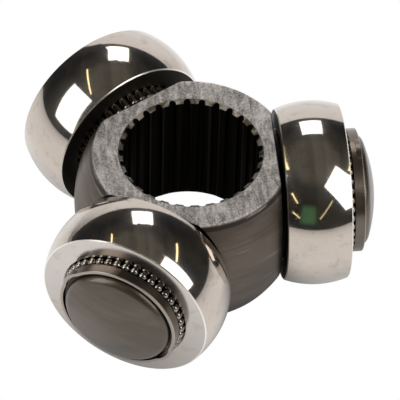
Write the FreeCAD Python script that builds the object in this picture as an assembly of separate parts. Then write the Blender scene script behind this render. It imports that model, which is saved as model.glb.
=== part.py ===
import FreeCAD, Part
import math
import os
from FreeCAD import Vector

# Tripod of a plunging constant velocity joint.
# Millimetres. The origin is the joint centre, where the three trunnion axes cross the spline axis.
# +Z runs along the spline axis, +X along trunnion 1. Trunnions 2 and 3 follow every 120 degrees.

# Spline of the hub bore. The gap is the width between two teeth at half their height.
SPLINE_TEETH = 29
SPLINE_ROOT_R = 15.5
SPLINE_TOOTH_HEIGHT = 0.9
SPLINE_GAP = 1.45
SPLINE_FLANK_ANGLE = 10.0
SPLINE_ROOT_ROUND = 0.4
SPLINE_PHASE = 0.87
SPLINE_TOP_LEAD_IN = 0.1
SPLINE_TOP_LEAD_DEPTH = 0.63
SPLINE_BOTTOM_LEAD_IN = 0.35
SPLINE_BOTTOM_LEAD_DEPTH = 1.44

# Hub: a barrel with rounded rims and a flat behind each roller
HUB_WAIST_R = 25.0
HUB_RIM_R = 20.85
HUB_HALF_HEIGHT = 15.35
HUB_RIM_ROUND = 1.3
HUB_FLAT_X = 18.3
HUB_FLAT_EDGE_ROUND = 0.35

# Rollers: each is a zone of a sphere with a cylindrical bore
ROLLER_R = 20.0
ROLLER_INNER_HALF = 7.4
ROLLER_OUTER_HALF = 6.5
ROLLER_BORE_R = 14.05
ROLLER_RIM_CHAMFER = 0.2
ROLLER_BORE_CHAMFER = 0.25
ROLLER_REST_GAPS = (1.0, 3.9, 0.9)

# Loose needle rollers: as many as fit round the bore
NEEDLE_R = 0.975
NEEDLE_LENGTH = 15.0
NEEDLE_RUNNING = 0.02
NEEDLE_SIDE_GAP = 0.02
NEEDLE_END_GAP = 0.1
NEEDLE_END_ROUND = 0.7

# Trunnions
TRUNNION_COUNT = 3
TRUNNION_STAND_OUT = 3.25
TRUNNION_DOME_R = 31.0
TRUNNION_END_ROUND = 1.8
BOSS_HEIGHT = 1.0
BOSS_ROLLER_GAP = 0.85

# Needle retaining ring: a thin cup with a flat web, a wall and two bulges
RING_HEIGHT = 2.2
RING_WALL = 0.7
RING_WEB = 0.6
RING_ROLLER_GAP = 0.65
RING_BORE_GAP = 0.08
RING_LIP_ROUND = 0.2
BULGE_STAND_OUT = 0.45
BULGE_R = 6.0
BULGE_HEIGHT = 1.1
BULGE_ANGLES = (90.0, 75.0, -32.0)

# Snap ring and its groove
SNAP_THICKNESS = 0.8
SNAP_SPLIT_DEG = 24.0
SNAP_WALL_GAP = 0.15
SNAP_SIDE_GAP = 0.05
SNAP_BORE_GAP = 0.05
GROOVE_DEPTH = 0.85

# Sizes that follow from the ones above
SPLINE_TIP_R = SPLINE_ROOT_R - SPLINE_TOOTH_HEIGHT
SPLINE_MIDDLE_R = SPLINE_ROOT_R - SPLINE_TOOTH_HEIGHT / 2.0
NEEDLE_PITCH_R = ROLLER_BORE_R - NEEDLE_RUNNING - NEEDLE_R
NEEDLE_HALF_STEP = NEEDLE_R + NEEDLE_SIDE_GAP / 2.0
NEEDLE_COUNT = int(math.pi / math.asin(NEEDLE_HALF_STEP / NEEDLE_PITCH_R))
TRUNNION_R = NEEDLE_PITCH_R - NEEDLE_R - NEEDLE_RUNNING
BOSS_R = ROLLER_BORE_R - BOSS_ROLLER_GAP
BOSS_X = HUB_FLAT_X + BOSS_HEIGHT
NEEDLE_START_X = BOSS_X + NEEDLE_END_GAP
NEEDLE_END_X = NEEDLE_START_X + NEEDLE_LENGTH
RING_OUTER_R = ROLLER_BORE_R - RING_ROLLER_GAP
RING_INNER_R = RING_OUTER_R - RING_WALL
RING_X = NEEDLE_END_X + NEEDLE_END_GAP
RING_END_X = RING_X + RING_HEIGHT
SNAP_OUTER_R = RING_INNER_R - SNAP_WALL_GAP
SNAP_X = RING_X + RING_WEB + SNAP_SIDE_GAP
GROOVE_X = SNAP_X - SNAP_SIDE_GAP
GROOVE_WIDTH = SNAP_THICKNESS + 2.0 * SNAP_SIDE_GAP
GROOVE_R = TRUNNION_R - GROOVE_DEPTH
TRUNNION_END_X = RING_END_X + TRUNNION_STAND_OUT

X_AXIS = Vector(1, 0, 0)
Z_AXIS = Vector(0, 0, 1)
ORIGIN = Vector(0, 0, 0)
CUT_PAST = 5.0
TOLERANCE = 1e-3


def polar(radius, degrees, height=0.0):
    angle = math.radians(degrees)
    return Vector(radius * math.cos(angle), radius * math.sin(angle), height)


def x_cylinder(radius, x_start, x_end):
    return Part.makeCylinder(radius, x_end - x_start, Vector(x_start, 0, 0), X_AXIS)


def turned(edges, axis):
    """Solid of revolution of a closed chain of edges about an axis through the origin."""
    return Part.Face(Part.Wire(edges)).revolve(ORIGIN, axis, 360)


def placed(shape, trunnion):
    """Copy of a shape built on +X, turned to its trunnion."""
    copy = shape.copy()
    copy.rotate(ORIGIN, Z_AXIS, trunnion * 360.0 / TRUNNION_COUNT)
    return copy


def circle_edges(shape, radius, along, axis=X_AXIS):
    """Edges that are circles about the axis with this radius, this far along it."""
    found = []
    for edge in shape.Edges:
        if edge.Degenerated:
            continue
        curve = edge.Curve
        if not isinstance(curve, Part.Circle):
            continue
        same_axis = abs(curve.Axis.dot(axis)) > 1.0 - TOLERANCE
        same_size = abs(curve.Radius - radius) < TOLERANCE
        same_place = abs(curve.Center.dot(axis) - along) < TOLERANCE
        if same_axis and same_size and same_place:
            found.append(edge)
    return found


def gap_half_angle(radius):
    """Half of one tooth gap's width at this radius, in degrees."""
    slope = math.tan(math.radians(SPLINE_FLANK_ANGLE))
    half_width = SPLINE_GAP / 2.0 - (radius - SPLINE_MIDDLE_R) * slope
    return math.degrees(half_width / radius)


def spline_tool(bottom, top):
    """Solid that fills the bore and its round-bottomed tooth gaps."""
    tooth_pitch = 360.0 / SPLINE_TEETH
    root_start_r = SPLINE_ROOT_R - SPLINE_ROOT_ROUND
    mouth_half = gap_half_angle(SPLINE_TIP_R)
    root_half = gap_half_angle(root_start_r)
    edges = []
    for tooth in range(SPLINE_TEETH):
        centre = SPLINE_PHASE + tooth * tooth_pitch
        mouth_start = polar(SPLINE_TIP_R, centre - mouth_half, bottom)
        root_start = polar(root_start_r, centre - root_half, bottom)
        root_middle = polar(SPLINE_ROOT_R, centre, bottom)
        root_end = polar(root_start_r, centre + root_half, bottom)
        mouth_end = polar(SPLINE_TIP_R, centre + mouth_half, bottom)
        tip_middle = polar(SPLINE_TIP_R, centre + tooth_pitch / 2.0, bottom)
        next_mouth = polar(SPLINE_TIP_R, centre + tooth_pitch - mouth_half, bottom)
        edges.append(Part.makeLine(mouth_start, root_start))
        edges.append(Part.Arc(root_start, root_middle, root_end).toShape())
        edges.append(Part.makeLine(root_end, mouth_end))
        edges.append(Part.Arc(mouth_end, tip_middle, next_mouth).toShape())
    face = Part.Face(Part.Wire(edges))
    return face.extrude(Vector(0, 0, top - bottom))


def hub():
    """Barrel with rounded rims and a flat behind each roller."""
    rim_top = Vector(HUB_RIM_R, 0, HUB_HALF_HEIGHT)
    rim_bottom = Vector(HUB_RIM_R, 0, -HUB_HALF_HEIGHT)
    axis_top = Vector(0, 0, HUB_HALF_HEIGHT)
    axis_bottom = Vector(0, 0, -HUB_HALF_HEIGHT)
    profile = [
        Part.makeLine(axis_bottom, rim_bottom),
        Part.Arc(rim_bottom, Vector(HUB_WAIST_R, 0, 0), rim_top).toShape(),
        Part.makeLine(rim_top, axis_top),
        Part.makeLine(axis_top, axis_bottom),
    ]
    body = turned(profile, Z_AXIS)
    rims = circle_edges(body, HUB_RIM_R, HUB_HALF_HEIGHT, Z_AXIS)
    rims += circle_edges(body, HUB_RIM_R, -HUB_HALF_HEIGHT, Z_AXIS)
    body = body.makeFillet(HUB_RIM_ROUND, rims)
    side = (HUB_WAIST_R + CUT_PAST) * 2.0
    block = Part.makeBox(CUT_PAST * 2.0, side, side)
    block.translate(Vector(HUB_FLAT_X, -side / 2.0, -side / 2.0))
    for trunnion in range(TRUNNION_COUNT):
        body = body.cut(placed(block, trunnion))
    flat_edges = []
    for trunnion in range(TRUNNION_COUNT):
        outward = polar(1.0, trunnion * 360.0 / TRUNNION_COUNT)
        for edge in body.Edges:
            middle = edge.valueAt((edge.FirstParameter + edge.LastParameter) / 2.0)
            points = [vertex.Point for vertex in edge.Vertexes] + [middle]
            if all(abs(point.dot(outward) - HUB_FLAT_X) < TOLERANCE for point in points):
                flat_edges.append(edge)
    return body.makeFillet(HUB_FLAT_EDGE_ROUND, flat_edges)


def trunnion_solid():
    """Trunnion with its boss, domed end and snap ring groove, on +X."""
    shank = x_cylinder(TRUNNION_R, SPLINE_ROOT_R, TRUNNION_END_X + CUT_PAST)
    dome_centre = Vector(TRUNNION_END_X - TRUNNION_DOME_R, 0, 0)
    shank = shank.common(Part.makeSphere(TRUNNION_DOME_R, dome_centre))
    rim_x = dome_centre.x + math.sqrt(TRUNNION_DOME_R ** 2 - TRUNNION_R ** 2)
    rim = circle_edges(shank, TRUNNION_R, rim_x)
    shank = shank.makeFillet(TRUNNION_END_ROUND, rim)
    groove = x_cylinder(TRUNNION_R + CUT_PAST, GROOVE_X, GROOVE_X + GROOVE_WIDTH)
    groove = groove.cut(x_cylinder(GROOVE_R, GROOVE_X, GROOVE_X + GROOVE_WIDTH))
    shank = shank.cut(groove)
    return shank.fuse(x_cylinder(BOSS_R, SPLINE_ROOT_R, BOSS_X))


def spider():
    body = hub()
    trunnion = trunnion_solid()
    for index in range(TRUNNION_COUNT):
        body = body.fuse(placed(trunnion, index))
    body = body.removeSplitter()
    cut_half = HUB_HALF_HEIGHT + CUT_PAST
    body = body.cut(spline_tool(-cut_half, cut_half))
    top_r = SPLINE_ROOT_R + SPLINE_TOP_LEAD_IN
    top_start = Vector(0, 0, HUB_HALF_HEIGHT - SPLINE_TOP_LEAD_DEPTH)
    top_cone = Part.makeCone(SPLINE_TIP_R, top_r, SPLINE_TOP_LEAD_DEPTH, top_start, Z_AXIS)
    bottom_r = SPLINE_ROOT_R + SPLINE_BOTTOM_LEAD_IN
    mouth = Vector(0, 0, -HUB_HALF_HEIGHT)
    bottom_cone = Part.makeCone(bottom_r, SPLINE_TIP_R, SPLINE_BOTTOM_LEAD_DEPTH, mouth, Z_AXIS)
    return body.cut(top_cone).cut(bottom_cone)


def roller():
    """Roller centred on the origin, its bore along X and its outer face towards +X."""
    inner_rim = Vector(-ROLLER_INNER_HALF, 0, math.sqrt(ROLLER_R ** 2 - ROLLER_INNER_HALF ** 2))
    outer_rim = Vector(ROLLER_OUTER_HALF, 0, math.sqrt(ROLLER_R ** 2 - ROLLER_OUTER_HALF ** 2))
    inner_bore = Vector(-ROLLER_INNER_HALF, 0, ROLLER_BORE_R)
    outer_bore = Vector(ROLLER_OUTER_HALF, 0, ROLLER_BORE_R)
    profile = [
        Part.makeLine(inner_bore, inner_rim),
        Part.Arc(inner_rim, Vector(0, 0, ROLLER_R), outer_rim).toShape(),
        Part.makeLine(outer_rim, outer_bore),
        Part.makeLine(outer_bore, inner_bore),
    ]
    body = turned(profile, X_AXIS)
    rims = circle_edges(body, inner_rim.z, inner_rim.x)
    rims += circle_edges(body, outer_rim.z, outer_rim.x)
    body = body.makeChamfer(ROLLER_RIM_CHAMFER, rims)
    mouths = circle_edges(body, ROLLER_BORE_R, -ROLLER_INNER_HALF)
    mouths += circle_edges(body, ROLLER_BORE_R, ROLLER_OUTER_HALF)
    return body.makeChamfer(ROLLER_BORE_CHAMFER, mouths)


def needle():
    body = x_cylinder(NEEDLE_R, NEEDLE_START_X, NEEDLE_END_X)
    ends = circle_edges(body, NEEDLE_R, NEEDLE_START_X)
    ends += circle_edges(body, NEEDLE_R, NEEDLE_END_X)
    return body.makeFillet(NEEDLE_END_ROUND, ends)


def needle_set():
    one = needle()
    needles = []
    for index in range(NEEDLE_COUNT):
        angle = math.radians(index * 360.0 / NEEDLE_COUNT)
        copy = one.copy()
        copy.translate(Vector(0, NEEDLE_PITCH_R * math.cos(angle), NEEDLE_PITCH_R * math.sin(angle)))
        needles.append(copy)
    return Part.makeCompound(needles)


def bulge_cylinder(radius, angle, x_start, x_end):
    """Cylinder along X that stands out of the ring's wall in one direction."""
    reach = RING_OUTER_R + BULGE_STAND_OUT - BULGE_R
    across = polar(reach, angle)
    return Part.makeCylinder(radius, x_end - x_start, Vector(x_start, across.x, across.y), X_AXIS)


def round_lip(body, radius):
    """Rounds the outer edge of a cylinder at the ring's open end."""
    return body.makeFillet(RING_LIP_ROUND, circle_edges(body, radius, RING_END_X))


def retaining_ring(bulge_angle):
    bulge_x = RING_END_X - BULGE_HEIGHT
    past_end = RING_END_X + CUT_PAST
    outside = round_lip(x_cylinder(RING_OUTER_R, RING_X, RING_END_X), RING_OUTER_R)
    hollow = x_cylinder(RING_INNER_R, RING_X + RING_WEB, past_end)
    for angle in (bulge_angle, bulge_angle + 180.0):
        bulge = bulge_cylinder(BULGE_R, angle, bulge_x, RING_END_X)
        outside = outside.fuse(round_lip(bulge, BULGE_R))
        pocket_x = bulge_x + RING_WALL / 2.0
        hollow = hollow.fuse(bulge_cylinder(BULGE_R - RING_WALL, angle, pocket_x, past_end))
    web_bore = x_cylinder(TRUNNION_R + RING_BORE_GAP, RING_X - CUT_PAST, past_end)
    return outside.cut(hollow).cut(web_bore).removeSplitter()


def snap_ring(bulge_angle):
    """Split ring in the trunnion groove, its split facing one bulge."""
    body = x_cylinder(SNAP_OUTER_R, SNAP_X, SNAP_X + SNAP_THICKNESS)
    body = body.cut(x_cylinder(GROOVE_R + SNAP_BORE_GAP, SNAP_X - CUT_PAST, SNAP_X + CUT_PAST))
    half = SNAP_SPLIT_DEG / 2.0
    reach = SNAP_OUTER_R * 2.0
    corners = [
        ORIGIN,
        polar(reach, bulge_angle - half),
        polar(reach, bulge_angle + half),
    ]
    points = [Vector(SNAP_X - CUT_PAST, corner.x, corner.y) for corner in corners]
    wedge = Part.Face(Part.makePolygon(points + [points[0]])).extrude(Vector(CUT_PAST * 3.0, 0, 0))
    return body.cut(wedge)


def export(shape, name):
    shape.exportStep("parts/" + name + ".step")
    print(name, len(shape.Solids), "solids", shape.isValid(), shape.BoundBox)


os.makedirs("parts", exist_ok=True)
export(spider(), "spider")
plain_roller = roller()
plain_needles = needle_set()
for number in range(TRUNNION_COUNT):
    moved_roller = plain_roller.copy()
    roller_centre = HUB_FLAT_X + ROLLER_REST_GAPS[number] + ROLLER_INNER_HALF
    moved_roller.translate(Vector(roller_centre, 0, 0))
    label = str(number + 1)
    export(placed(moved_roller, number), "roller_" + label)
    export(placed(plain_needles, number), "needles_" + label)
    export(placed(retaining_ring(BULGE_ANGLES[number]), number), "ring_" + label)
    export(placed(snap_ring(BULGE_ANGLES[number]), number), "snap_ring_" + label)
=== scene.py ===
import bpy
import math
from mathutils import Matrix, Vector


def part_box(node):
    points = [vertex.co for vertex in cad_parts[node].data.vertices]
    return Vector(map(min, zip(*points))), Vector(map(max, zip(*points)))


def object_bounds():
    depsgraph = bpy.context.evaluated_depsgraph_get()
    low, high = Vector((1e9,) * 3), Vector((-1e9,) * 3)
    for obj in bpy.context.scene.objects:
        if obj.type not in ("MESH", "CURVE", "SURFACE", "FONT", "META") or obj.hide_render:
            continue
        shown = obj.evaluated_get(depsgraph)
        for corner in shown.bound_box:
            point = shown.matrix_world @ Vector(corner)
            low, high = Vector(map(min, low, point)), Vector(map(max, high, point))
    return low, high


# Tripod of a plunging constant velocity joint: finishes, studio and camera.
# Metres, in the frame of the CAD model: +Z along the spline, trunnion 1 on +X, the others every 120 degrees.

MM = 0.001
MICRON = 1e-6
TRUNNIONS = (1, 2, 3)
TURN_STEP = math.radians(120.0)

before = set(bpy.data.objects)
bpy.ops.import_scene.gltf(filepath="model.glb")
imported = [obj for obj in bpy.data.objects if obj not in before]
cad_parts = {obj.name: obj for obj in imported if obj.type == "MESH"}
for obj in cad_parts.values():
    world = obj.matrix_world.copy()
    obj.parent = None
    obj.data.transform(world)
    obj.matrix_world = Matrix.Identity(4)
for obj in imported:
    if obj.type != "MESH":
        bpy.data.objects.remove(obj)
cad_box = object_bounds()


# ---------------------------------------------------------------- shader helpers

def feed(tree, node, inputs):
    """Gives a node's inputs, by socket name or number, their values or the sockets that drive them."""
    for key, value in inputs.items():
        if isinstance(value, bpy.types.NodeSocket):
            tree.links.new(value, node.inputs[key])
        else:
            node.inputs[key].default_value = value


def add(tree, kind, inputs=None, **settings):
    """New shader node. Settings are its properties; inputs are values or sockets by socket name or number."""
    made = tree.nodes.new(kind)
    for key, value in settings.items():
        setattr(made, key, value)
    feed(tree, made, inputs or {})
    return made


def math_node(tree, operation, *values, clamp=False):
    inputs = dict(enumerate(values))
    return add(tree, "ShaderNodeMath", inputs, operation=operation, use_clamp=clamp).outputs[0]


def vector_math(tree, operation, *values):
    inputs = dict(enumerate(values))
    return add(tree, "ShaderNodeVectorMath", inputs, operation=operation).outputs


def product(tree, first, *others):
    for other in others:
        first = math_node(tree, "MULTIPLY", first, other)
    return first


def absolute(tree, value):
    return math_node(tree, "ABSOLUTE", value)


def stretched(tree, vector, factors):
    return vector_math(tree, "MULTIPLY", vector, factors)[0]


def components(tree, vector):
    return add(tree, "ShaderNodeSeparateXYZ", {0: vector}).outputs


def ramp_between(tree, value, low, high):
    """0 below low, 1 above high, smooth in between. With low above high it falls instead."""
    inputs = {"Value": value, "From Min": low, "From Max": high}
    return add(tree, "ShaderNodeMapRange", inputs, interpolation_type="SMOOTHSTEP").outputs[0]


def remap(tree, value, low, high, to_low, to_high):
    inputs = {"Value": value, "From Min": low, "From Max": high, "To Min": to_low, "To Max": to_high}
    return add(tree, "ShaderNodeMapRange", inputs).outputs[0]


def mix_colour(tree, fraction, first, second):
    inputs = {0: fraction, 6: first, 7: second}
    return add(tree, "ShaderNodeMix", inputs, data_type="RGBA").outputs[2]


def mix_value(tree, fraction, first, second):
    inputs = {0: fraction, 2: first, 3: second}
    return add(tree, "ShaderNodeMix", inputs, data_type="FLOAT").outputs[0]


def noise(tree, vector, per_metre, detail=2.0, roughness=0.5, distortion=0.0):
    inputs = {
        "Vector": vector,
        "Scale": per_metre,
        "Detail": detail,
        "Roughness": roughness,
        "Distortion": distortion,
    }
    return add(tree, "ShaderNodeTexNoise", inputs).outputs[0]


def line_noise(tree, coordinate, per_unit, detail=1.0, roughness=0.5):
    """Noise that changes along one coordinate only."""
    inputs = {"W": coordinate, "Scale": per_unit, "Detail": detail, "Roughness": roughness}
    return add(tree, "ShaderNodeTexNoise", inputs, noise_dimensions="1D").outputs[0]


def grey(value):
    return (value, value, value, 1.0)


def colour(red, green, blue):
    return (red, green, blue, 1.0)


def new_group(name, inputs, outputs):
    """Empty shader node group. Inputs and outputs are (name, kind) or (name, kind, default)."""
    group = bpy.data.node_groups.new(name, "ShaderNodeTree")
    for way, sockets in (("INPUT", inputs), ("OUTPUT", outputs)):
        for label, kind, *default in sockets:
            socket = group.interface.new_socket(name=label, in_out=way, socket_type="NodeSocket" + kind)
            if default:
                socket.default_value = default[0]
    start = group.nodes.new("NodeGroupInput")
    end = group.nodes.new("NodeGroupOutput")
    return group, start.outputs, end.inputs


def place(tree, group, inputs):
    """A node group placed in a material; returns its outputs."""
    return add(tree, "ShaderNodeGroup", inputs, node_tree=group).outputs


def empty_material(name):
    made = bpy.data.materials.new(name)
    made.use_nodes = True
    tree = made.node_tree
    tree.nodes.clear()
    return made, tree, tree.nodes.new("ShaderNodeOutputMaterial")


def steel_material(name):
    """Material with a metallic Principled shader; returns its tree and shader too."""
    made, tree, output = empty_material(name)
    shader = tree.nodes.new("ShaderNodeBsdfPrincipled")
    feed(tree, shader, {"Metallic": 1.0})
    feed(tree, output, {"Surface": shader.outputs[0]})
    return made, tree, shader


# ---------------------------------------------------------------- shared effects

def make_turned_place():
    """Where a point lies on a piece turned about a trunnion: along its axis and off its axis."""
    group, start, end = new_group(
        "turned_place",
        [("Position", "Vector"), ("Turn", "Float", 0.0)],
        [("Along", "Float"), ("Off Axis", "Float")],
    )
    inputs = {"Vector": start["Position"], "Angle": math_node(group, "MULTIPLY", start["Turn"], -1.0)}
    local = add(group, "ShaderNodeVectorRotate", inputs, rotation_type="Z_AXIS").outputs[0]
    parts = components(group, local)
    y_squared = product(group, parts[1], parts[1])
    squares = math_node(group, "MULTIPLY_ADD", parts[2], parts[2], y_squared)
    group.links.new(parts[0], end["Along"])
    group.links.new(math_node(group, "SQRT", squares), end["Off Axis"])
    return group


def make_spider_place():
    """Where a point lies on the spider: along and off its nearest trunnion, off the spline axis, height."""
    group, start, end = new_group(
        "spider_place",
        [("Position", "Vector")],
        [("Along", "Float"), ("Off Trunnion", "Float"), ("Off Spline", "Float"), ("Height", "Float")],
    )
    position = start["Position"]
    along = None
    for number in TRUNNIONS:
        angle = (number - 1) * TURN_STEP
        axis = (math.cos(angle), math.sin(angle), 0.0)
        reach = vector_math(group, "DOT_PRODUCT", position, axis)["Value"]
        along = reach if along is None else math_node(group, "MAXIMUM", along, reach)
    squared = vector_math(group, "DOT_PRODUCT", position, position)["Value"]
    height = components(group, position)[2]
    off_trunnion_squared = math_node(group, "SUBTRACT", squared, product(group, along, along))
    off_spline_squared = math_node(group, "SUBTRACT", squared, product(group, height, height))
    group.links.new(along, end["Along"])
    group.links.new(math_node(group, "SQRT", off_trunnion_squared), end["Off Trunnion"])
    group.links.new(math_node(group, "SQRT", off_spline_squared), end["Off Spline"])
    group.links.new(height, end["Height"])
    return group


def make_cutting_lines():
    """Fine parallel lines left by turning or grinding, as a height and as a mask of the deeper ones."""
    group, start, end = new_group(
        "cutting_lines",
        [("Coordinate", "Float"), ("Per Metre", "Float", 4000.0)],
        [("Height", "Float"), ("Deep", "Float")],
    )
    lines = line_noise(group, start["Coordinate"], start["Per Metre"], detail=3.0, roughness=0.7)
    group.links.new(lines, end["Height"])
    group.links.new(ramp_between(group, lines, 0.58, 0.68), end["Deep"])
    return group


def make_scratches():
    """Thin scratches in two directions, as a mask that is 1 on a scratch."""
    group, start, end = new_group(
        "scratches",
        [("Position", "Vector"), ("Per Metre", "Float", 300.0), ("Amount", "Float", 0.5)],
        [("Mask", "Float")],
    )
    turning_axis = (0.4, 0.5, 0.77)
    sharpness = 25.0
    masks = []
    for tilt, stretch in ((0.6, (1.0, 22.0, 22.0)), (-0.9, (18.0, 1.0, 18.0))):
        inputs = {"Vector": start["Position"], "Axis": turning_axis, "Angle": tilt}
        turned = add(group, "ShaderNodeVectorRotate", inputs, rotation_type="AXIS_ANGLE").outputs[0]
        streak = noise(group, stretched(group, turned, stretch), start["Per Metre"], detail=1.0)
        level = math_node(group, "MULTIPLY_ADD", start["Amount"], -0.12, 0.76)
        over = math_node(group, "SUBTRACT", streak, level)
        masks.append(math_node(group, "MULTIPLY", over, sharpness, clamp=True))
    group.links.new(math_node(group, "MAXIMUM", *masks), end["Mask"])
    return group


def make_blotches():
    """Broad soft patches, from 0 to 1."""
    group, start, end = new_group(
        "blotches",
        [("Position", "Vector"), ("Per Metre", "Float", 90.0), ("Contrast", "Float", 1.0)],
        [("Value", "Float")],
    )
    soft = noise(group, start["Position"], start["Per Metre"], detail=4.0, roughness=0.6, distortion=0.4)
    centred = math_node(group, "SUBTRACT", soft, 0.5)
    spread = math_node(group, "MULTIPLY", centred, start["Contrast"])
    group.links.new(math_node(group, "ADD", spread, 0.5, clamp=True), end["Value"])
    return group


TURNED_PLACE = make_turned_place()
SPIDER_PLACE = make_spider_place()
CUTTING_LINES = make_cutting_lines()
SCRATCHES = make_scratches()
BLOTCHES = make_blotches()


def object_place(tree):
    return add(tree, "ShaderNodeTexCoord").outputs


def turned_place(tree, vector, turn):
    return place(tree, TURNED_PLACE, {"Position": vector, "Turn": turn})


def cutting_lines(tree, coordinate, per_metre):
    return place(tree, CUTTING_LINES, {"Coordinate": coordinate, "Per Metre": per_metre})


def scratches(tree, coords, per_metre, amount):
    inputs = {"Position": coords["Object"], "Per Metre": per_metre, "Amount": amount}
    return place(tree, SCRATCHES, inputs)["Mask"]


def blotches(tree, coords, per_metre, contrast):
    inputs = {"Position": coords["Object"], "Per Metre": per_metre, "Contrast": contrast}
    return place(tree, BLOTCHES, inputs)["Value"]


def bumped(tree, height, depth):
    """Normal with a relief of this depth in metres."""
    return add(tree, "ShaderNodeBump", {"Height": height, "Distance": depth, "Strength": 1.0}).outputs[0]


# ---------------------------------------------------------------- finishes

# Where one finish gives way to the next, as the two ends of a soft step.
# Heights are from the hub's middle, reaches are along a trunnion from the joint centre.
HUB_END_HEIGHT = (13.9 * MM, 14.3 * MM)
HUB_RIM_HEIGHT = (13.7 * MM, 14.0 * MM)
BORE_RADIUS = (15.75 * MM, 15.55 * MM)
RIM_RADIUS = (16.0 * MM, 16.4 * MM)
HUB_FLAT_REACH = (18.1 * MM, 18.25 * MM)
TRUNNION_SHANK_RADIUS = (12.08 * MM, 12.15 * MM)
TRUNNION_END_REACH = (35.5 * MM, 36.0 * MM)
RING_LIP_REACH = (36.45 * MM, 36.62 * MM)
ROLLER_FACE_TILT = (0.93, 0.98)
ROLLER_INNER_FACE_TILT = (-0.93, -0.98)
ROLLER_CHAMFER_TILT_START = (0.45, 0.55)
ROLLER_CHAMFER_TILT_END = (0.92, 0.85)

# Roller colours
CROWN = colour(0.585, 0.515, 0.455)
CROWN_DULLER = colour(0.510, 0.445, 0.385)
CROWN_SMUDGE = colour(0.40, 0.33, 0.27)
CROWN_SPECK = colour(0.32, 0.26, 0.21)
GROUND_FACE = colour(0.640, 0.575, 0.515)
GROUND_FACE_DULLER = colour(0.550, 0.525, 0.510)
GROUND_FACE_SMUDGE = colour(0.40, 0.35, 0.31)
INNER_FACE_PAINTED_SHADE = colour(0.055, 0.046, 0.037)
CHAMFER_PAINTED_HIGHLIGHT = colour(0.86, 0.81, 0.75)

# Needle, retaining ring and snap ring colours
NEEDLE = colour(0.40, 0.37, 0.33)
NEEDLE_DARKER = colour(0.20, 0.18, 0.155)
RING_WALL = colour(0.170, 0.138, 0.110)
RING_WALL_DARKER = colour(0.110, 0.088, 0.068)
RING_LIP_PAINTED_HIGHLIGHT = colour(0.36, 0.315, 0.27)
SNAP_RING = colour(0.035, 0.032, 0.03)
SNAP_RING_LIGHTER = colour(0.09, 0.08, 0.07)

# Spider colours
HUB_SIDE = colour(0.100, 0.079, 0.063)
HUB_SIDE_LIGHTER = colour(0.138, 0.112, 0.090)
HUB_SIDE_LINE = colour(0.060, 0.047, 0.038)
HUB_SIDE_SCUFF = colour(0.260, 0.226, 0.196)
TRUNNION_END = colour(0.097, 0.078, 0.059)
TRUNNION_END_LIGHTER = colour(0.138, 0.113, 0.087)
BLASTED_PIT = colour(0.17, 0.155, 0.145)
BLASTED_GRAIN = colour(0.98, 0.92, 0.88)
BLASTED_CLOUD = colour(0.33, 0.31, 0.295)
BLASTED_PALE = colour(0.93, 0.89, 0.86)
BLASTED_HAIR = colour(0.95, 0.91, 0.87)
RIM_SHADOW = colour(0.050, 0.042, 0.036)
LEAD_IN = colour(0.40, 0.36, 0.31)
LEAD_IN_DARKER = colour(0.085, 0.070, 0.048)
OILED_BORE = colour(0.030, 0.026, 0.019)
BORE_PAINTED_SHEEN_STREAK = colour(0.115, 0.100, 0.085)
BEHIND_ROLLER_DARK_AND_PAINTED_SHADE = colour(0.006, 0.005, 0.004)


def ground_roller_steel(name, turn):
    """Bearing steel: a mirror-like crown, finely ground end faces, chamfers painted pale as a highlight, and
    a dull inner face painted dark as shade.
    """
    made, tree, shader = steel_material(name)
    coords = object_place(tree)
    where = turned_place(tree, coords["Object"], turn)
    toward_end = turned_place(tree, coords["Normal"], turn)["Along"]
    tilt = absolute(tree, toward_end)
    face = ramp_between(tree, tilt, *ROLLER_FACE_TILT)
    inner_face = ramp_between(tree, toward_end, *ROLLER_INNER_FACE_TILT)
    chamfer = product(
        tree,
        ramp_between(tree, tilt, *ROLLER_CHAMFER_TILT_START),
        ramp_between(tree, tilt, *ROLLER_CHAMFER_TILT_END),
    )

    patches = blotches(tree, coords, 110.0, contrast=1.2)
    stains = blotches(tree, coords, 380.0, contrast=2.6)
    specks = noise(tree, coords["Object"], 2600.0)
    smudged = product(tree, ramp_between(tree, stains, 0.55, 1.0), 0.55)
    speckled = product(tree, ramp_between(tree, specks, 0.66, 0.74), 0.5)
    crown = mix_colour(tree, patches, CROWN, CROWN_DULLER)
    crown = mix_colour(tree, smudged, crown, CROWN_SMUDGE)
    crown = mix_colour(tree, speckled, crown, CROWN_SPECK)
    ground = mix_colour(tree, patches, GROUND_FACE, GROUND_FACE_DULLER)
    ground = mix_colour(tree, product(tree, smudged, 0.6), ground, GROUND_FACE_SMUDGE)
    # Painted shade: the inner face, which faces the hub across a narrow gap, is coloured near black.
    ground = mix_colour(tree, inner_face, ground, INNER_FACE_PAINTED_SHADE)
    tone = mix_colour(tree, face, crown, ground)
    # Painted highlight: the chamfers are coloured pale so that they show as thin bright lines.
    tone = mix_colour(tree, chamfer, tone, CHAMFER_PAINTED_HIGHLIGHT)

    crown_polish = remap(tree, patches, 0.0, 1.0, 0.055, 0.085)
    face_polish = remap(tree, patches, 0.0, 1.0, 0.11, 0.18)
    polish = mix_value(tree, face, crown_polish, face_polish)
    polish = mix_value(tree, inner_face, polish, 0.50)
    polish = mix_value(tree, chamfer, polish, 0.28)
    hairs = scratches(tree, coords, 260.0, amount=0.35)

    rings = cutting_lines(tree, where["Off Axis"], 5000.0)
    relief = product(tree, rings["Height"], face)
    feed(tree, shader, {
        "Base Color": tone,
        "Roughness": math_node(tree, "MULTIPLY_ADD", hairs, 0.12, polish),
        "Coat Weight": mix_value(tree, face, 0.55, 0.15),
        "Coat Roughness": 0.30,
        "Coat IOR": 1.7,
        "Normal": bumped(tree, relief, 0.6 * MICRON),
    })
    return made


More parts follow.
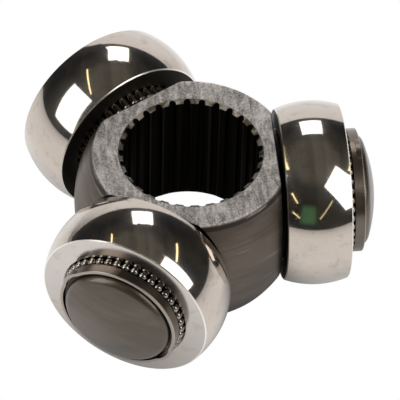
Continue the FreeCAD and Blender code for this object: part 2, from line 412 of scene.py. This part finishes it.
def needle_steel(name):
    made, tree, shader = steel_material(name)
    patches = blotches(tree, object_place(tree), 600.0, contrast=1.5)
    feed(tree, shader, {
        "Base Color": mix_colour(tree, patches, NEEDLE, NEEDLE_DARKER),
        "Roughness": remap(tree, patches, 0.0, 1.0, 0.08, 0.18),
    })
    return made


def oiled_ring_steel(name, turn):
    """Thin pressed steel, phosphated and oiled: dark brown-grey, its outer lip painted lighter as a
    highlight.
    """
    made, tree, shader = steel_material(name)
    coords = object_place(tree)
    where = turned_place(tree, coords["Object"], turn)
    patches = blotches(tree, coords, 260.0, contrast=1.3)
    lines = cutting_lines(tree, where["Along"], 9000.0)
    # Painted highlight: the outer lip is coloured lighter than the wall.
    lip = ramp_between(tree, where["Along"], *RING_LIP_REACH)
    wall = mix_colour(tree, patches, RING_WALL, RING_WALL_DARKER)
    feed(tree, shader, {
        "Base Color": mix_colour(tree, lip, wall, RING_LIP_PAINTED_HIGHLIGHT),
        "Roughness": remap(tree, patches, 0.0, 1.0, 0.26, 0.36),
        "Coat Weight": 0.35,
        "Coat Roughness": 0.12,
        "Normal": bumped(tree, lines["Height"], 3.0 * MICRON),
    })
    return made


def blackened_spring_steel(name):
    made, tree, shader = steel_material(name)
    patches = blotches(tree, object_place(tree), 400.0, contrast=1.4)
    feed(tree, shader, {
        "Base Color": mix_colour(tree, patches, SNAP_RING, SNAP_RING_LIGHTER),
        "Roughness": remap(tree, patches, 0.0, 1.0, 0.35, 0.5),
    })
    return made


def spider_zones(tree, coords, where):
    """Masks of the spider's differently finished zones and of its painted shade, by name."""
    height = absolute(tree, where["Height"])
    upward = absolute(tree, components(tree, coords["Normal"])[2])
    inside = ramp_between(tree, where["Off Spline"], *BORE_RADIUS)
    level = ramp_between(tree, upward, 0.55, 0.85)
    upright = math_node(tree, "SUBTRACT", 1.0, ramp_between(tree, upward, 0.25, 0.5))
    rounded = product(tree, ramp_between(tree, upward, 0.22, 0.34), ramp_between(tree, upward, 0.62, 0.46))
    sloping = product(tree, ramp_between(tree, upward, 0.5, 0.6), ramp_between(tree, upward, 0.98, 0.93))
    near_end = ramp_between(tree, height, *HUB_RIM_HEIGHT)
    outside = ramp_between(tree, where["Off Spline"], *RIM_RADIUS)
    past_flat = ramp_between(tree, where["Along"], *HUB_FLAT_REACH)
    off_shank = ramp_between(tree, where["Off Trunnion"], *TRUNNION_SHANK_RADIUS)
    bore = product(tree, inside, upright)
    behind_roller = product(tree, past_flat, off_shank)
    return {
        "end_face": product(tree, ramp_between(tree, height, *HUB_END_HEIGHT), level),
        "bore": bore,
        "behind_roller": behind_roller,
        "black": math_node(tree, "MAXIMUM", bore, behind_roller),
        "rim_shadow": product(tree, rounded, near_end, outside),
        "lead_in": product(tree, inside, sloping),
        "trunnion_end": ramp_between(tree, where["Along"], *TRUNNION_END_REACH),
    }


def satin_side_colour(tree, coords, where, trunnion_end):
    """Brown satin of the hub's side and the trunnion ends, with turning lines, scuffs and smears."""
    marks = cutting_lines(tree, where["Height"], 1500.0)
    wiped = noise(tree, stretched(tree, coords["Object"], (1.0, 1.0, 9.0)), 95.0, detail=3.0)
    scuffs = product(tree, ramp_between(tree, wiped, 0.60, 0.72), 0.5)
    drawn = stretched(tree, coords["Object"], (0.25, 0.4, 1.0))
    smears = noise(tree, drawn, 170.0, detail=3.0, roughness=0.55, distortion=0.4)
    side = mix_colour(tree, ramp_between(tree, smears, 0.34, 0.66), HUB_SIDE, HUB_SIDE_LIGHTER)
    side = mix_colour(tree, product(tree, marks["Deep"], 0.35), side, HUB_SIDE_LINE)
    side = mix_colour(tree, scuffs, side, HUB_SIDE_SCUFF)
    tip = mix_colour(tree, ramp_between(tree, smears, 0.36, 0.64), TRUNNION_END, TRUNNION_END_LIGHTER)
    return mix_colour(tree, trunnion_end, side, tip)


def blasted_colour(tree, coords, grains, wavy, clouds, hairs):
    """Granular pale grey of the hub's end faces."""
    spots = ramp_between(tree, grains, 0.34, 0.66)
    spots = mix_value(tree, 0.45, spots, ramp_between(tree, wavy, 0.40, 0.60))
    pale = ramp_between(tree, noise(tree, coords["Object"], 210.0, detail=4.0, roughness=0.65), 0.52, 0.72)
    blasted = mix_colour(tree, spots, BLASTED_PIT, BLASTED_GRAIN)
    blasted = mix_colour(tree, product(tree, clouds, 0.55), blasted, BLASTED_CLOUD)
    blasted = mix_colour(tree, product(tree, pale, 0.55), blasted, BLASTED_PALE)
    return mix_colour(tree, product(tree, hairs, 0.45), blasted, BLASTED_HAIR)


def oiled_bore_colour(tree, coords):
    """Near black of the spline, with lighter streaks that run down it, painted as a sheen."""
    parts = components(tree, coords["Object"])
    # Painted sheen: lighter vertical streaks in the colour.
    streaks = line_noise(tree, math_node(tree, "ARCTAN2", parts[1], parts[0]), 13.0)
    return mix_colour(tree, ramp_between(tree, streaks, 0.55, 0.75), OILED_BORE, BORE_PAINTED_SHEEN_STREAK)


def spider_steel(name):
    """Forged and hardened spider: granular end faces, brown satin sides, a black spline, and flats that are
    dark and painted darker still as shade behind the rollers.
    """
    made, tree, shader = steel_material(name)
    coords = object_place(tree)
    where = place(tree, SPIDER_PLACE, {"Position": coords["Object"]})
    zones = spider_zones(tree, coords, where)
    patches = blotches(tree, coords, 95.0, contrast=1.3)
    clouds = blotches(tree, coords, 330.0, contrast=1.2)
    hairs = scratches(tree, coords, 170.0, amount=0.6)
    grains = noise(tree, coords["Object"], 2700.0, detail=3.0, roughness=0.6, distortion=0.5)
    fine = noise(tree, coords["Object"], 5200.0, detail=2.0, roughness=0.6)
    filed = stretched(tree, coords["Object"], (1.0, 0.22, 1.0))
    wavy = noise(tree, filed, 900.0, detail=3.0, roughness=0.6, distortion=0.6)

    tone = satin_side_colour(tree, coords, where, zones["trunnion_end"])
    blasted = blasted_colour(tree, coords, grains, wavy, clouds, hairs)
    tone = mix_colour(tree, zones["end_face"], tone, blasted)
    tone = mix_colour(tree, zones["rim_shadow"], tone, RIM_SHADOW)
    lip = mix_colour(tree, ramp_between(tree, clouds, 0.35, 0.65), LEAD_IN, LEAD_IN_DARKER)
    tone = mix_colour(tree, zones["lead_in"], tone, lip)
    tone = mix_colour(tree, zones["bore"], tone, oiled_bore_colour(tree, coords))
    # Painted shade: the flats behind the rollers are coloured near black, for their dark finish and for the
    # shade of the rollers on them.
    tone = mix_colour(tree, zones["behind_roller"], tone, BEHIND_ROLLER_DARK_AND_PAINTED_SHADE)

    rough = mix_value(tree, zones["end_face"], remap(tree, patches, 0.0, 1.0, 0.42, 0.52), 0.60)
    rough = mix_value(tree, zones["lead_in"], rough, 0.34)
    rough = mix_value(tree, zones["black"], rough, 0.45)

    uncoated = math_node(tree, "MAXIMUM", zones["end_face"], zones["black"])
    coated = math_node(tree, "SUBTRACT", 1.0, uncoated)
    coat = product(tree, coated, mix_value(tree, zones["trunnion_end"], 0.10, 0.55))

    relief = math_node(tree, "MULTIPLY_ADD", fine, 0.4, grains)
    relief = math_node(tree, "MULTIPLY_ADD", wavy, 1.4, relief)
    relief = product(tree, relief, zones["end_face"])
    feed(tree, shader, {
        "Base Color": tone,
        "Roughness": math_node(tree, "MULTIPLY_ADD", hairs, -0.08, rough),
        "Coat Weight": coat,
        "Coat Roughness": 0.07,
        "Coat IOR": 1.5,
        "Normal": bumped(tree, relief, 130.0 * MICRON),
    })
    return made


# ---------------------------------------------------------------- pieces

def finish_cad_node(name, material):
    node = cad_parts[name]
    node.data.materials.clear()
    node.data.materials.append(material)


def dress_pieces():
    needle = needle_steel("polished_needle_steel")
    snap = blackened_spring_steel("blackened_spring_steel")
    finish_cad_node("spider", spider_steel("hardened_spider_steel"))
    for number in TRUNNIONS:
        turn = (number - 1) * TURN_STEP
        finish_cad_node(f"roller_{number}", ground_roller_steel(f"ground_roller_steel_{number}", turn))
        finish_cad_node(f"needles_{number}", needle)
        finish_cad_node(f"ring_{number}", oiled_ring_steel(f"oiled_ring_steel_{number}", turn))
        finish_cad_node(f"snap_ring_{number}", snap)


# ---------------------------------------------------------------- studio

FLOOR_Z = cad_box[0].z
FLOOR_REACH = 40.0
WATTS_PER_RADIANCE = math.pi

# White panels and lamp tubes that the rollers mirror
PANEL_RADIANCE = 3.2
TUBE_RADIANCE = 4.0
TUBE_THICKNESS = 0.011
TUBE_TINT = (1.0, 0.86, 0.50)
LEFT_TUBES_X = -0.236
RIGHT_TUBE_X = 0.237

# White card behind the joint
CARD_HALF_WIDTH = 0.36
CARD_RISE = 0.150
CARD_MIDDLE_X = 0.055
CARD_Y = 0.24
CARD_STEPS = 48
CARD_ARCH_POWER = 0.9

# Shade on the floor, as only the lit pieces see it
FOOT_SHADE_REACH = (4.0 * MM, 38.0 * MM)
FOOT_SHADE_LEFT = 0.42
HUB_SHADE_REACH = (12.0 * MM, 36.0 * MM)
HUB_SHADE_LEFT = 0.05
FLOOR_FADE_REACH = (0.12, 0.9)
FLOOR_FADE_LEFT = 0.62

# Room round the joint. Heights are the upward part of a direction, from 0 at the horizon to 1 overhead.
WALL_COOL = colour(0.018, 0.019, 0.021)
WALL_WARM = colour(0.040, 0.036, 0.029)
UPPER_WALL = colour(0.052, 0.051, 0.045)
CEILING = colour(0.126, 0.121, 0.105)
GREEN_CLOTH = colour(0.085, 0.190, 0.095)
UPPER_WALL_HEIGHT = (0.55, 0.80)
CEILING_HEIGHT = (0.80, 0.93)
CLOTH_AZIMUTH = math.radians(-102.0)
CLOTH_HALF_WIDTH = (math.radians(13.0), math.radians(5.0))
CLOTH_HEIGHT = 0.32
CLOTH_HALF_HEIGHT = (0.25, 0.11)


def add_object(name, data):
    made = bpy.data.objects.new(name, data)
    bpy.context.scene.collection.objects.link(made)
    return made


def panel(name, middle, side, up, width, height, radiance, tint=(1.0, 1.0, 1.0)):
    """Rectangular light, its width along side and its height nearest to up. It shines against side x up."""
    across = Vector(side).normalized()
    rise = (Vector(up) - across * across.dot(Vector(up))).normalized()
    away = across.cross(rise)
    light = bpy.data.lights.new(name, "AREA")
    light.shape = "RECTANGLE"
    light.size = width
    light.size_y = height
    light.color = tint
    light.energy = radiance * width * height * WATTS_PER_RADIANCE
    held = add_object(name, light)
    held.matrix_world = Matrix.Translation(middle) @ Matrix((across, rise, away)).transposed().to_4x4()
    held.visible_camera = False


def tube(name, start, end, radiance=TUBE_RADIANCE):
    """Thin warm lamp between two points, facing the joint."""
    start = Vector(start)
    end = Vector(end)
    middle = (start + end) / 2.0
    side = (end - start).normalized()
    up = side.cross(middle.normalized()) * -1.0
    panel(name, middle, side, up, (end - start).length, TUBE_THICKNESS, radiance, tint=TUBE_TINT)


def glowing_material(name, build_strength):
    """White emission; build_strength makes its strength from the node tree and the position."""
    made, tree, output = empty_material(name)
    position = add(tree, "ShaderNodeNewGeometry").outputs["Position"]
    strength = build_strength(tree, position)
    glow = add(tree, "ShaderNodeEmission", {"Color": grey(1.0), "Strength": strength})
    feed(tree, output, {"Surface": glow.outputs[0]})
    return made


def card_strength(tree, position):
    """White in the middle of the card, dimmer towards its ends."""
    along = components(tree, position)[0]
    off_middle = absolute(tree, math_node(tree, "SUBTRACT", along, CARD_MIDDLE_X))
    bright = ramp_between(tree, off_middle, CARD_HALF_WIDTH, 0.2 * CARD_HALF_WIDTH)
    return mix_value(tree, bright, 0.25, 1.0)


def floor_strength(tree, position):
    """White to the camera. What it lights also sees it fade far away and the shade under the joint."""
    shade = None
    for number in TRUNNIONS:
        low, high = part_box(f"roller_{number}")
        foot = ((low.x + high.x) / 2.0, (low.y + high.y) / 2.0, FLOOR_Z)
        away = vector_math(tree, "DISTANCE", position, foot)["Value"]
        near = ramp_between(tree, away, *FOOT_SHADE_REACH)
        shade = near if shade is None else product(tree, shade, near)
    from_middle = vector_math(tree, "DISTANCE", position, (0.0, 0.0, FLOOR_Z))["Value"]
    under_hub = ramp_between(tree, from_middle, *HUB_SHADE_REACH)
    under_rollers = mix_value(tree, shade, FOOT_SHADE_LEFT, 1.0)
    lit = product(tree, under_rollers, mix_value(tree, under_hub, HUB_SHADE_LEFT, 1.0))
    fade_start, fade_end = (math.log10(reach) for reach in FLOOR_FADE_REACH)
    magnitude = math_node(tree, "LOGARITHM", from_middle, 10.0)
    fade = remap(tree, magnitude, fade_start, fade_end, 1.0, FLOOR_FADE_LEFT)
    seen = add(tree, "ShaderNodeLightPath").outputs["Is Camera Ray"]
    return mix_value(tree, seen, product(tree, lit, fade), 1.0)


def stage_mesh(name, corners, material):
    mesh = bpy.data.meshes.new(name)
    mesh.from_pydata(corners, [], [tuple(range(len(corners)))])
    mesh.materials.append(material)
    made = add_object(name, mesh)
    return made


def studio_floor():
    signs = ((-1, -1), (1, -1), (1, 1), (-1, 1))
    corners = [(x * FLOOR_REACH, y * FLOOR_REACH, 0.0) for x, y in signs]
    floor = stage_mesh("studio_floor", corners, glowing_material("pale_floor", floor_strength))
    floor.location.z = FLOOR_Z


def backdrop_card():
    """White card behind the object, its top edge a long low arch."""
    corners = []
    for step in range(CARD_STEPS + 1):
        across = 1.0 - 2.0 * step / CARD_STEPS
        lift = math.cos(math.pi / 2.0 * across) ** CARD_ARCH_POWER
        corners.append((CARD_MIDDLE_X + CARD_HALF_WIDTH * across, CARD_Y, FLOOR_Z + CARD_RISE * lift))
    card = stage_mesh("backdrop_card", corners, glowing_material("white_card", card_strength))
    card.visible_camera = False


def room():
    """White where the camera looks past the floor; otherwise a dark room under a dim warm ceiling."""
    world = bpy.data.worlds.new("dim_room")
    bpy.context.scene.world = world
    world.use_nodes = True
    tree = world.node_tree
    tree.nodes.clear()
    output = tree.nodes.new("ShaderNodeOutputWorld")
    direction = add(tree, "ShaderNodeTexCoord").outputs["Generated"]
    parts = components(tree, direction)
    upward = parts[2]
    drift = noise(tree, direction, 2.6)
    lifted = math_node(tree, "ADD", upward, math_node(tree, "MULTIPLY_ADD", drift, 0.16, -0.08))

    tone = mix_colour(tree, ramp_between(tree, drift, 0.35, 0.65), WALL_COOL, WALL_WARM)
    tone = mix_colour(tree, ramp_between(tree, lifted, *UPPER_WALL_HEIGHT), tone, UPPER_WALL)
    tone = mix_colour(tree, ramp_between(tree, lifted, *CEILING_HEIGHT), tone, CEILING)
    flat_x = math_node(tree, "DIVIDE", parts[0], math_node(tree, "MAXIMUM", upward, 0.2))
    beams = remap(tree, line_noise(tree, flat_x, 5.5), 0.35, 0.65, 0.78, 1.12)
    tone = add(tree, "ShaderNodeVectorMath", {0: tone, "Scale": beams}, operation="SCALE").outputs[0]

    around = math_node(tree, "ARCTAN2", parts[1], parts[0])
    off_azimuth = absolute(tree, math_node(tree, "SUBTRACT", around, CLOTH_AZIMUTH))
    off_height = absolute(tree, math_node(tree, "SUBTRACT", upward, CLOTH_HEIGHT))
    cloth = product(
        tree,
        ramp_between(tree, off_azimuth, *CLOTH_HALF_WIDTH),
        ramp_between(tree, off_height, *CLOTH_HALF_HEIGHT),
    )
    tone = mix_colour(tree, cloth, tone, GREEN_CLOTH)

    seen = add(tree, "ShaderNodeLightPath").outputs["Is Camera Ray"]
    shown = mix_colour(tree, seen, tone, grey(1.0))
    sky = add(tree, "ShaderNodeBackground", {"Color": shown, "Strength": 1.0})
    feed(tree, output, {"Surface": sky.outputs[0]})


def studio_lights():
    panel(
        "right_panel",
        middle=(0.181, -0.160, 0.185),
        side=(0.372, 0.922, -0.104),
        up=(-0.597, 0.323, 0.734),
        width=0.168,
        height=0.234,
        radiance=PANEL_RADIANCE,
    )
    panel(
        "left_panel",
        middle=(-0.388, -0.059, 0.225),
        side=(0.567, -0.821, -0.065),
        up=(0.759, 0.199, 0.620),
        width=0.27,
        height=0.37,
        radiance=PANEL_RADIANCE,
    )
    panel(
        "back_panel",
        middle=(0.043, 0.283, 0.268),
        side=(-0.999, 0.004, -0.032),
        up=(-0.019, -0.873, 0.488),
        width=0.128,
        height=0.165,
        radiance=PANEL_RADIANCE,
    )
    tube("left_tube", (LEFT_TUBES_X, 0.250, 0.440), (LEFT_TUBES_X, -0.060, 0.440))
    tube("right_tube", (RIGHT_TUBE_X, 0.075, 0.255), (RIGHT_TUBE_X, -0.064, 0.255))
    tube("left_front_tube", (LEFT_TUBES_X, -0.292, 0.335), (LEFT_TUBES_X, -0.474, 0.335))
    tube("left_far_tube", (LEFT_TUBES_X, -0.421, 0.180), (LEFT_TUBES_X, -0.651, 0.180), radiance=3.0)
    tube("right_far_tube", (0.304, -0.682, 0.503), (0.061, -0.867, 0.233), radiance=2.5)


def camera():
    distance = 0.7909
    azimuth = math.radians(-96.43)
    elevation = math.radians(48.65)
    focal_length_mm = 328.8
    sensor_width_mm = 36.0
    aim_right = 0.00221
    aim_up = -0.00013
    roll = Matrix.Rotation(math.radians(1.60), 4, "Z")
    flat = math.cos(elevation)
    away = Vector((flat * math.cos(azimuth), flat * math.sin(azimuth), math.sin(elevation)))
    upright = (-away).to_track_quat("-Z", "Y").to_matrix().to_4x4() @ roll
    aim = upright.to_3x3() @ Vector((aim_right, aim_up, 0.0))
    place_of_lens = away * distance
    turned = (aim - place_of_lens).to_track_quat("-Z", "Y").to_matrix().to_4x4() @ roll
    lens = bpy.data.cameras.new("studio_camera")
    lens.lens = focal_length_mm
    lens.sensor_width = sensor_width_mm
    held = add_object("studio_camera", lens)
    held.matrix_world = Matrix.Translation(place_of_lens) @ turned
    bpy.context.scene.camera = held


dress_pieces()
studio_floor()
backdrop_card()
room()
studio_lights()
camera()
bpy.context.scene.view_settings.view_transform = "Standard"
